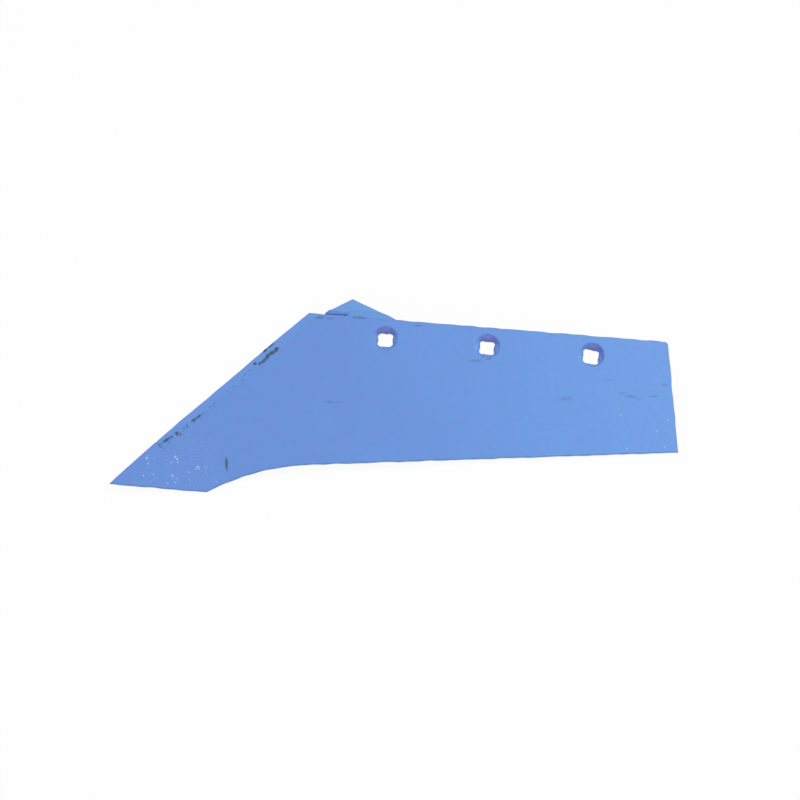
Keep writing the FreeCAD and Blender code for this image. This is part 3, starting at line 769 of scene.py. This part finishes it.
def makeBeads(material, notchLitMaterial):
    # The fillet between the plates, and three beads at the lug: each has its toes and its root
    spec = beads["inner"]
    rootY = -lean * blade["plate"]
    root = (rootY, -blade["plate"])
    toes = ((rootY - spec["leg"], -blade["plate"]),
            (rootY - cos(wedge) * spec["leg"], -blade["plate"] - sin(wedge) * spec["leg"]))
    makeBead("innerWeld", seamPlace, edgeLength - spec["start"] - spec["end"], toes, root, spec,
             material, "inner_fillet_weld")

    # In the lug's frame the blade's rear wall leans back by the tilt
    tilt = radians(lug["tilt"])
    spec = beads["top"]
    toes = ((-sin(tilt) * spec["toe"] - cos(tilt) * spec["over"],
             cos(tilt) * spec["toe"] - sin(tilt) * spec["over"]), (spec["lap"], lug["stand"]))
    makeBead("lugTopWeld", lugPlace, lugEnd - spec["start"], toes, (0, spec["root"]), spec,
             material, "lug_top_weld", skew=-lug["right"] / lug["depth"])

    spec = beads["root"]
    length = beads["top"]["start"] - spec["start"] + spec["under"]
    rise = np.interp(beadRun(length), *zip(*spec["rise"]))
    toes = (np.stack([-tan(tilt) * rise, rise], -1), np.stack([0 * rise, rise], -1))
    makeBead("lugRootWeld", lugPlace, length, toes, (0, 0), spec, notchLitMaterial, "lug_root_weld")

    spec = beads["under"]
    toes = ((-cos(tilt) * spec["leg"], -sin(tilt) * spec["leg"]),
            (spec["lap"], lug["stand"] - lug["plate"]))
    makeBead("lugUnderWeld", lugPlace, lugEnd - spec["start"] - spec["end"], toes, (0, 0), spec,
             material, "lug_under_weld")


seam = {
    "hidden": 2.0,            # how far the weld reaches in under the blade, before the plate's front
    "hiddenDrop": 0.12,       # its surface lies lower there
    "cap": 0.8,               # length of its rounded end there
    "depth": 3.0,
    "overlap": 0.5,           # how far the ground bead spreads on to each plate
    "short": 0.25,            # how far it ends before the top edge
    "step": 0.4,              # between its sections
    "across": 14,             # faces from side to side
    "pitDepth": 0.8,
    # pits: middle along the seam, half length, depth share
    "pits": ((52.5, 3.0, 0.7), (59.0, 4.5, 1.0), (69.0, 2.5, 0.9), (78.0, 4.0, 1.0), (88.0, 5.0, 1.1),
             (96.0, 2.0, 0.8), (105.5, 3.5, 0.5), (121.0, 3.0, 0.3), (139.0, 3.0, 0.4),
             (150.0, 3.0, 0.4), (157.5, 3.0, 1.0), (164.5, 3.8, 1.3), (171.0, 3.2, 1.2),
             (177.0, 3.4, 1.2)),
    # where the pits lie across the seam, 0 at the landside plate, how far that place strays, and
    # their half width
    "pitSide": 0.45, "pitStray": 0.13, "pitWidth": 0.27,
    "seed": 53,
}


def makeSeamWeld(material):
    # Ground weld in the groove: a nearly flat strip whose surface drops into pits. Each pit is a
    # bell along the run times a ragged wave and a bell across. The top edge cuts the far end.
    topNormal = seamAxes.T @ topAxes[:, 1]
    cornerHere = localTo(seamPlace, cornerWorld)
    gap, spread, seed = blade["grooveWidth"], seam["overlap"], seam["seed"]

    def endAt(y):
        cut = cornerHere[0] - topNormal[1] * (y - cornerHere[1]) / topNormal[0]
        return cut - seam["short"]

    fronts = [(stepPoint(seamOffset + y) - tip[:2]) @ landsideEdge
              for y in (-spread, gap + 2 * spread)]
    front, start = max(fronts), min(fronts) - seam["hidden"]
    run = np.arange(start, endAt(-gap - 2 * spread) + seam["step"], seam["step"])[:, None]
    v = np.linspace(0, 1, seam["across"] + 1)[None, :]
    left = spread * (1 + 0.5 * waver(run, 8, seed))
    right = -gap - spread * (1 + 0.6 * waver(run, 6, seed + 1))
    across = left * (1 - v) + right * v
    along = sum(strength * np.exp(-np.abs((run - middle) / half) ** 3)
                for middle, half, strength in seam["pits"])
    ragged = (0.6 + 0.55 * waver(run, 4.5, seed + 2)).clip(0, 1.4)
    off = v - seam["pitSide"] - seam["pitStray"] * waver(run, 5, seed + 3)
    pit = along * ragged * np.exp(-(off / seam["pitWidth"]) ** 2)
    surface = 0.05 * np.sin(pi * v) + 0.03 * waver(run + across, 3, seed + 4) - 0.02
    surface = surface - seam["pitDepth"] * pit.clip(0, 1.5)
    surface = surface - seam["hiddenDrop"] * (front + 0.6 - run).clip(0, 1)
    rootY = -lean * seam["depth"]
    outline = np.dstack([np.minimum(run, endAt(across)), across, surface])
    root = np.dstack([np.minimum(run, endAt(rootY)), np.full_like(run, rootY),
                      np.full_like(run, -seam["depth"])])
    # The near end, inside the blade, shrinks on to the root
    scale = quarterRound((run - start) / seam["cap"])[..., None]
    points = root + (np.concatenate([outline, root], 1) - root) * scale
    # Stations past the cut would fold on it, so each column keeps a hair of its own run there
    points[..., 0] += 0.002 * (run - endAt(points[..., 1])).clip(0)
    inPit = np.concatenate([pit.clip(0, 1), np.zeros_like(run)], 1)
    ids = numbered(points.shape[:2])
    end = ids[-1]
    cap = np.stack([end[:-2], end[1:-1], *[np.full(len(end) - 2, end[-1])] * 2], -1)
    faces = np.concatenate([gathered(ringFaces(ids), ids[0]), cap])
    newPiece("seamWeld", moved(seamPlace, points.reshape(-1, 3)), faces, material,
             "seam_weld", {"pit": inPit.ravel()}, weighted=False)


paint = {
    "left": (0.131, 0.273, 0.669),     # enamel towards the tip
    "right": (0.139, 0.325, 0.747),    # enamel towards the heel, lighter and more cyan: partly the paint's own drift, partly painted light from the key lamp's side
    "violet": (0.161, 0.268, 0.692),   # thick coat
    "cyan": (0.109, 0.306, 0.652),     # thin coat
    "grime": (0.034, 0.055, 0.060),    # bare dark patches
    # Smudges, worn edges and pit bottoms, and also painted shade at the countersinks and the top
    # weld's toe
    "smudgeAndShade": (0.070, 0.170, 0.330),
    "rust": (0.180, 0.085, 0.080),
    # Dust, grit and pale specks, and painted light in the lug's notch
    "dustAndPaintedLight": (0.420, 0.620, 0.960),
    "shadedCrescent": (0.150, 0.190, 0.600),     # painted shade in the countersinks, deep violet
    "paintedHighlight": (0.160, 0.460, 0.980),    # painted highlight: pale cyan enamel where the light falls full
    "roughness": 0.46,
    "sheen": 0.35,
    "bump": (0.10, 0.0006),            # strength and distance
}

# Noises in the paint: scale to the millimetre, detail, roughness
grain = {
    "slow": (0.012, 2, 0.5),
    "coat": (0.10, 2, 0.5),
    "mottle": (0.16, 4, 0.6),
    "fine": (1.1, 3, 0.6),
    "ragged": (0.55, 3, 0.6),          # borders of the marks and specks
    "grit": (0.62, 2, 0.7),
    "shadedCrescent": (0.4, 3, 0.6),
    "skin": (0.5, 4, 0.55),
}

# Marks by what shows there, in the blade's frame: middle x, y, half length, half width, turn in
# degrees, strength. Most are where the paint is missing, thin or dirty; some are painted shade,
# and the paintedHighlight ones are painted highlights.
marks = {
    "smudgeAndShade": (
        (-38.6, 41.1, 2.4, 1.6, 45, 0.6), (-18.9, 55.5, 1.8, 1.2, 40, 0.6),
        (-16.4, 58.1, 1.6, 1.1, 45, 0.5), (-2.9, 67.6, 1.6, 1.0, 45, 0.5),
        (3.2, 72.9, 1.6, 0.8, 40, 0.6), (6.6, 75.5, 1.6, 0.8, 40, 0.55),
        (36.3, 103.4, 1.6, 0.8, 45, 0.5), (32.1, 100.4, 1.6, 0.8, 45, 0.45),
        (30.3, 95.5, 0.9, 1.6, 0, 0.4), (22.1, 89.7, 1.7, 0.8, 40, 0.4),
        (17.3, 86.1, 1.5, 0.8, 40, 0.4), (102.9, 73.6, 3.4, 1.1, 0, 0.6),
        (109.0, 73.0, 2.6, 0.9, 6, 0.3), (179.3, 138.4, 4.2, 0.8, -2, 0.75),
        (226.5, 105.8, 6.0, 1.1, -2, 0.5), (233.1, 109.0, 1.8, 1.2, 0, 0.4),
        # From (328.2, 116.9) to (144.9, 134.9): painted shade on the upper and right rims of the
        # countersinks
        (237.9, 106.9, 2.6, 0.9, 12, 0.75), (328.2, 116.9, 3.2, 0.9, -12, 0.8),
        (332.8, 113.3, 2.6, 1.0, -50, 0.8), (334.2, 106.2, 3.6, 1.1, -85, 0.75),
        (324.4, 113.4, 2.4, 0.9, -20, 0.5), (238.3, 128.7, 3.0, 0.8, 0, 0.6),
        (246.6, 120.2, 3.2, 0.6, -75, 0.5), (152.4, 138.4, 3.4, 0.7, 0, 0.5),
        (144.9, 134.9, 2.0, 1.0, 40, 0.45), (300.7, 69.6, 6.0, 1.8, 0, 0.35),
        (347.7, 73.1, 3.4, 1.3, 0, 0.4), (355.0, 69.6, 4.6, 1.6, -12, 0.45),
        (361.6, 67.4, 3.0, 1.2, -8, 0.35), (374.0, 69.2, 4.0, 1.2, 0, 0.4),
        (384.2, 78.9, 3.0, 1.0, 0, 0.5), (338.5, 84.8, 4.6, 1.2, 0, 0.22),
        (95.8, 148.6, 4.4, 1.4, 3, 0.8), (105.0, 147.3, 3.6, 1.2, -8, 0.5),
        # Painted shade: the dark streak in the crevice at the top weld's toe
        (129.2, 147.5, 6.4, 1.3, -5, 0.75),
    ),
    "grime": (
        (40.6, 109.3, 1.7, 1.3, -30, 0.85), (44.9, 109.8, 2.0, 1.3, 25, 0.8),
        (48.3, 112.0, 3.2, 1.5, 45, 0.9), (51.2, 115.6, 3.0, 1.6, 55, 0.95),
        (54.6, 118.4, 2.9, 1.7, 38, 1.0), (58.5, 121.3, 2.4, 1.9, 60, 0.95),
        (48.6, 119.2, 2.6, 0.7, -43, 0.35), (-33.4, 45.4, 3.8, 1.3, 36, 0.85),
        (-29.6, 47.8, 1.9, 1.2, 35, 0.7), (-24.8, 50.9, 1.9, 1.6, 20, 0.85),
        (-10.4, 62.2, 3.2, 1.3, 32, 0.75), (-6.2, 64.9, 2.6, 1.2, 35, 0.7),
        (16.6, 23.4, 1.3, 5.9, 2, 0.8), (49.0, 120.9, 2.6, 1.1, 40, 1.0),
        (54.0, 124.9, 3.6, 0.8, 40, 0.9),
    ),
    "rust": ((-22.2, 49.9, 1.9, 1.5, 0, 0.6),),
    "paintedHighlight": (
        # Painted highlights on the left lips of the three countersinks and at the top weld's near end
        (142.4, 123.8, 2.6, 0.9, 95, 0.3), (228.3, 117.5, 3.2, 1.0, 95, 0.55),
        (315.4, 106.4, 3.2, 1.1, 88, 0.65), (120.9, 154.5, 2.0, 1.5, 20, 0.35),
    ),
}

# Pale specks, strong ones first: radius, strength, middles in the blade's frame
specks = (
    (1.25, 0.95, ((-49.5, 30.5), (-25.9, 30.8), (-24.4, 29.0), (-7.3, 21.9), (-28.0, 14.8))),
    (1.0, 0.7, ((-48.2, 25.9), (-28.8, 26.1), (-23.7, 26.1), (-6.3, 19.9), (-8.4, 20.2),
                (-51.8, 16.0), (-43.8, 16.9), (-24.6, 12.5), (-32.1, 8.5), (-25.6, 9.1),
                (-14.7, 17.4), (345.4, 53.9), (384.3, 48.3), (374.3, 39.1), (379.8, 25.1),
                (348.1, 24.5))),
    (0.9, 0.4, ((0.0, 20.8), (-0.4, 17.1), (-13.9, 11.7), (-45.4, 10.6), (-12.4, 36.4),
                (-15.4, 45.0), (8.5, 8.4), (6.8, 13.2))),
)

# Patches of fine grit: middle x, y, reach, strength
gritty = ((-24.0, 20.0, 46.0, 0.32), (362.0, 34.0, 44.0, 0.13))


def addNode(tree, kind, inputs=None, **settings):
    # An input is linked when it is another node's output, and set when it is a value
    made = tree.nodes.new(kind)
    for key, value in settings.items():
        setattr(made, key, value)
    for key, value in (inputs or {}).items():
        if hasattr(value, "is_output"):
            tree.links.new(value, made.inputs[key])
        else:
            made.inputs[key].default_value = value
    return made


def maths(tree, operation, *values):
    return addNode(tree, "ShaderNodeMath", dict(enumerate(values)), operation=operation).outputs[0]


def eased(tree, value, low, high, start=0.0, end=1.0):
    # Smooth step from start at low to end at high
    inputs = {"Value": value, "From Min": low, "From Max": high, "To Min": start, "To Max": end}
    return addNode(tree, "ShaderNodeMapRange", inputs, interpolation_type="SMOOTHSTEP").outputs[0]


def noise(tree, place, kind):
    # One of the grains, by place, from 0 to 1
    scale, detail, roughness = grain[kind]
    inputs = {"Vector": place, "Scale": scale, "Detail": detail, "Roughness": roughness}
    return addNode(tree, "ShaderNodeTexNoise", inputs).outputs["Fac"]


def attribute(tree, name):
    # A value that the mesh carries at its points
    return addNode(tree, "ShaderNodeAttribute", attribute_name=name).outputs["Fac"]


def distance(tree, place, x, y):
    # How far a place is from x, y on the wearing face
    inputs = {0: place, 1: (x, y, 0)}
    return addNode(tree, "ShaderNodeVectorMath", inputs, operation="DISTANCE").outputs["Value"]


def emptied(owner):
    # Node tree of a material or a world, with nothing in it
    owner.use_nodes = True
    owner.node_tree.nodes.clear()
    return owner.node_tree


def mixed(tree, share, first, second):
    # First colour where the share is 0, second where it is 1
    made = addNode(tree, "ShaderNodeMix", data_type="RGBA")
    for socket, value in (("Factor_Float", share), ("A_Color", first), ("B_Color", second)):
        target = next(s for s in made.inputs if s.identifier == socket)
        if hasattr(value, "is_output"):
            tree.links.new(value, target)
        else:
            target.default_value = (*map(float, value), 1.0)
    return next(s for s in made.outputs if s.identifier == "Result_Color")


def marksMask(tree, place, ragged, shapes):
    # Largest of the marks: each is 1 inside an ellipse, broken at its border by a noise
    total = 0.0
    for x, y, length, width, turn, strength in shapes:
        inputs = {"Vector": place, "Location": (x, y, 0), "Rotation": (0, 0, radians(turn)),
                  "Scale": (length, width, 3)}
        inside = addNode(tree, "ShaderNodeMapping", inputs, vector_type="TEXTURE").outputs[0]
        reach = distance(tree, inside, 0, 0)
        mask = eased(tree, maths(tree, "ADD", reach, ragged), 1.40, 0.45, 0.0, strength)
        total = maths(tree, "MAXIMUM", total, mask)
    return total


def specksMask(tree, place, ragged, radius, strength, middles):
    # 1 near the nearest of the given points, easing off to 0 at the radius
    nearest = distance(tree, place, *middles[0])
    for middle in middles[1:]:
        nearest = maths(tree, "MINIMUM", nearest, distance(tree, place, *middle))
    return eased(tree, maths(tree, "ADD", nearest, ragged), radius, 0.3 * radius, 0.0, strength)


def gritMask(tree, place, x, y, reach, strength):
    # A noise's peaks, dying away from a middle
    here = eased(tree, distance(tree, place, x, y), reach, 0.55 * reach, 0.0, strength)
    return maths(tree, "MULTIPLY", eased(tree, noise(tree, place, "grit"), 0.56, 0.70), here)


def bladeCoordinates(tree):
    # Object coordinates turned into the blade's frame, in millimetres
    coordinates = addNode(tree, "ShaderNodeTexCoord").outputs["Object"]
    inputs = {"Vector": coordinates, "Location": tuple(bladeOrigin * mm),
              "Rotation": tuple(Matrix(bladeAxes.tolist()).to_euler()), "Scale": (mm, mm, mm)}
    return addNode(tree, "ShaderNodeMapping", inputs, vector_type="TEXTURE").outputs[0]


def enamel(tree, place, tone):
    # The coat's colour: a slow change of tone along the blade, lighter towards the heel partly as
    # painted light from that side, thicker and thinner in places
    colours = {name: np.multiply(paint[name], tone) for name in ("left", "right", "violet", "cyan")}
    along = addNode(tree, "ShaderNodeSeparateXYZ", {0: place}).outputs["X"]
    slow = eased(tree, noise(tree, place, "slow"), 0.3, 0.7, -0.12, 0.12)
    drift = maths(tree, "ADD", eased(tree, along, 40, 420), slow)
    colour = mixed(tree, drift, colours["left"], colours["right"])
    coat = noise(tree, place, "coat")
    colour = mixed(tree, eased(tree, coat, 0.42, 0.70, 0.0, 0.20), colour, colours["violet"])
    return mixed(tree, eased(tree, coat, 0.55, 0.30, 0.0, 0.20), colour, colours["cyan"])


def paintMaterial(name, tone, marked=False, speckled=False, pitted=False, notchLit=False):
    # Satin enamel over black steel. On the coat lie layers, each a mask and a paint: smudges and
    # dust everywhere, then what the piece calls for, and the worn arrises, with painted shade at the
    # holes' walls. What a piece calls for holds painted light too: shade and highlights among the
    # marks, light in the lug's notch and shade in the countersinks.
    material = bpy.data.materials.new(name)
    tree = emptied(material)
    place = bladeCoordinates(tree)
    mottle, fine = noise(tree, place, "mottle"), noise(tree, place, "fine")
    ragged = eased(tree, noise(tree, place, "ragged"), 0.25, 0.75, -0.26, 0.32)
    layers = [(eased(tree, mottle, 0.45, 0.8, 0.0, 0.10), "smudgeAndShade"),
              (eased(tree, fine, 0.58, 0.8, 0.0, 0.08), "dustAndPaintedLight")]
    if speckled:
        layers += [(gritMask(tree, place, *patch), "dustAndPaintedLight") for patch in gritty]
        layers += [(specksMask(tree, place, ragged, *kind), "dustAndPaintedLight") for kind in specks]
    if marked:
        layers += [(marksMask(tree, place, ragged, shapes), kind) for kind, shapes in marks.items()]
    # Painted light on the lug's wall in the notch and on the root weld below it
    if notchLit:
        layers.append((maths(tree, "MULTIPLY", attribute(tree, "notchLight"), 0.85), "dustAndPaintedLight"))
    if pitted:
        uneven = eased(tree, fine, 0.3, 0.7, -0.12, 0.12)
        depth = maths(tree, "ADD", attribute(tree, "pit"), uneven)
        layers.append((eased(tree, depth, 0.35, 0.9, 0.0, 0.7), "smudgeAndShade"))
    # Worn, darker paint on the rounded edges, and on each punched wall's upper edge a dark line of
    # painted shade
    wornAndShadedEdges = eased(tree, attribute(tree, "arris"), 0.6, 1.0)
    patchy = eased(tree, mottle, 0.40, 0.62, 0.25, 0.70)
    layers.append((maths(tree, "MULTIPLY", wornAndShadedEdges, patchy), "smudgeAndShade"))
    # Painted shade, deep violet, on each countersink's side away from the light
    if speckled:
        patchy = eased(tree, noise(tree, place, "shadedCrescent"), 0.3, 0.65, 0.55, 1.0)
        layers.append((maths(tree, "MULTIPLY", attribute(tree, "shadedCrescent"), patchy), "shadedCrescent"))

    colour = enamel(tree, place, tone)
    for mask, kind in layers:
        colour = mixed(tree, mask, colour, paint[kind])
    skin = maths(tree, "MULTIPLY", noise(tree, place, "skin"), 0.5)
    height = maths(tree, "ADD", skin, maths(tree, "MULTIPLY", fine, 0.16))
    strength, reach = paint["bump"]
    bump = addNode(tree, "ShaderNodeBump", {"Strength": strength, "Distance": reach, "Height": height})
    rough = paint["roughness"]
    shader = addNode(tree, "ShaderNodeBsdfPrincipled", {
        "Base Color": colour, "Roughness": eased(tree, mottle, 0.3, 0.8, rough - 0.05, rough + 0.09),
        "Normal": bump.outputs[0], "Specular IOR Level": paint["sheen"]})
    addNode(tree, "ShaderNodeOutputMaterial", {"Surface": shader.outputs[0]})
    return material


bladePaint = paintMaterial("bladeEnamel", (1.0, 1.0, 1.0), marked=True, speckled=True)
platePaint = paintMaterial("landsideEnamel", (1.04, 1.06, 1.04), marked=True)
# The lug's enamel is a lighter, more cyan copy: painted light for its brighter look where it faces the
# light
lugPaint = paintMaterial("lugEnamel", (1.02, 1.18, 1.05), notchLit=True)
weldPaint = paintMaterial("weldEnamel", (1.0, 1.07, 1.0), marked=True, pitted=True)
print("paints made")

makeBlade(bladePaint)
makeLandside(platePaint)
makeLug(lugPaint)
makeSeamWeld(weldPaint)
makeBeads(weldPaint, lugPaint)
print("pieces made")

# In metres, and the lens and its sensor in millimetres
view = {
    "target": (0.0070, -0.0204, 0.0288),
    "back": (-0.02372, -0.65513, 0.75514),      # from the target towards the camera
    "right": (0.99629, -0.07799, -0.03637),
    "distance": 1.150,
    "lens": 61.8,
    "sensor": 36.0,
}

studio = {
    "aim": (0.0, 0.0, 0.03),
    # place, size, power, colour
    "key": ((2.35, 0.35, 3.5), 1.6, 84.0, (0.98, 1.0, 0.97)),
    "fill": ((-0.7, -2.6, 1.7), 1.6, 20.0, (1.0, 1.0, 1.0)),
    "sky": (0.98, 0.93, 1.0),
    "skyStrength": 0.52,
    "floorSize": 6.0,
    "floorTone": 0.86,
    "floorWhite": 0.94,       # share of plain white in the floor as the camera sees it
    "floorGap": 0.0002,       # floor below the share's lowest point
}


def makeCamera():
    # Looks at the target from the distance, kept level by its right-hand direction
    data = bpy.data.cameras.new("shareCamera")
    data.lens = view["lens"]
    data.sensor_width = view["sensor"]
    camera = addObject("shareCamera", data)
    back, right = Vector(view["back"]).normalized(), Vector(view["right"])
    right = (right - right.dot(back) * back).normalized()
    turn = Matrix((right, back.cross(right), back)).transposed().to_4x4()
    eye = Vector(view["target"]) + back * view["distance"]
    camera.matrix_world = Matrix.Translation(eye) @ turn
    bpy.context.scene.camera = camera


def makeLamp(name, at, size, power, colour):
    # Round lamp turned towards the aim
    data = bpy.data.lights.new(name, "AREA")
    data.shape = "DISK"
    data.size = size
    data.energy = power
    data.color = colour
    lamp = addObject(name, data)
    lamp.location = at
    lamp.rotation_euler = (Vector(studio["aim"]) - Vector(at)).to_track_quat("-Z", "Y").to_euler()


def seenPlainly(tree):
    # 1 for what the camera sees, straight or in a reflection
    seen = addNode(tree, "ShaderNodeLightPath").outputs
    straight = maths(tree, "MAXIMUM", seen["Is Camera Ray"], seen["Is Glossy Ray"])
    return maths(tree, "MAXIMUM", straight, seen["Is Transmission Ray"])


def makeFloor():
    # Pale floor that keeps the shadow, and is nearly plain white to the camera
    material = bpy.data.materials.new("paleFloor")
    tree = emptied(material)
    tone = studio["floorTone"]
    plain = addNode(tree, "ShaderNodeBsdfDiffuse", {"Color": (tone, tone, tone, 1)})
    glow = addNode(tree, "ShaderNodeEmission", {"Color": (1, 1, 1, 1), "Strength": 1})
    share = maths(tree, "MULTIPLY", seenPlainly(tree), studio["floorWhite"])
    mix = addNode(tree, "ShaderNodeMixShader", {0: share, 1: plain.outputs[0], 2: glow.outputs[0]})
    addNode(tree, "ShaderNodeOutputMaterial", {"Surface": mix.outputs[0]})
    size, level = studio["floorSize"], float(cadBounds[0][2]) - studio["floorGap"]
    corners = [(x * size, y * size, level) for x, y in ((-1, -1), (1, -1), (1, 1), (-1, 1))]
    mesh = bpy.data.meshes.new("floor")
    mesh.from_pydata(corners, [], [(0, 1, 2, 3)])
    mesh.materials.append(material)
    addObject("floor", mesh)


def makeSky():
    # A pale sky for the light, and plain white for the camera
    world = bpy.data.worlds.new("studio")
    bpy.context.scene.world = world
    tree = emptied(world)
    soft, white = (
        addNode(tree, "ShaderNodeBackground", {"Color": (*colour, 1), "Strength": strength})
        for colour, strength in ((studio["sky"], studio["skyStrength"]), ((1, 1, 1), 1)))
    mix = addNode(tree, "ShaderNodeMixShader",
                  {0: seenPlainly(tree), 1: soft.outputs[0], 2: white.outputs[0]})
    addNode(tree, "ShaderNodeOutputWorld", {"Surface": mix.outputs[0]})


makeCamera()
makeFloor()
makeSky()
makeLamp("keyLamp", *studio["key"])
makeLamp("fillLamp", *studio["fill"])
bpy.context.scene.view_settings.view_transform = "Standard"
print("stage made")
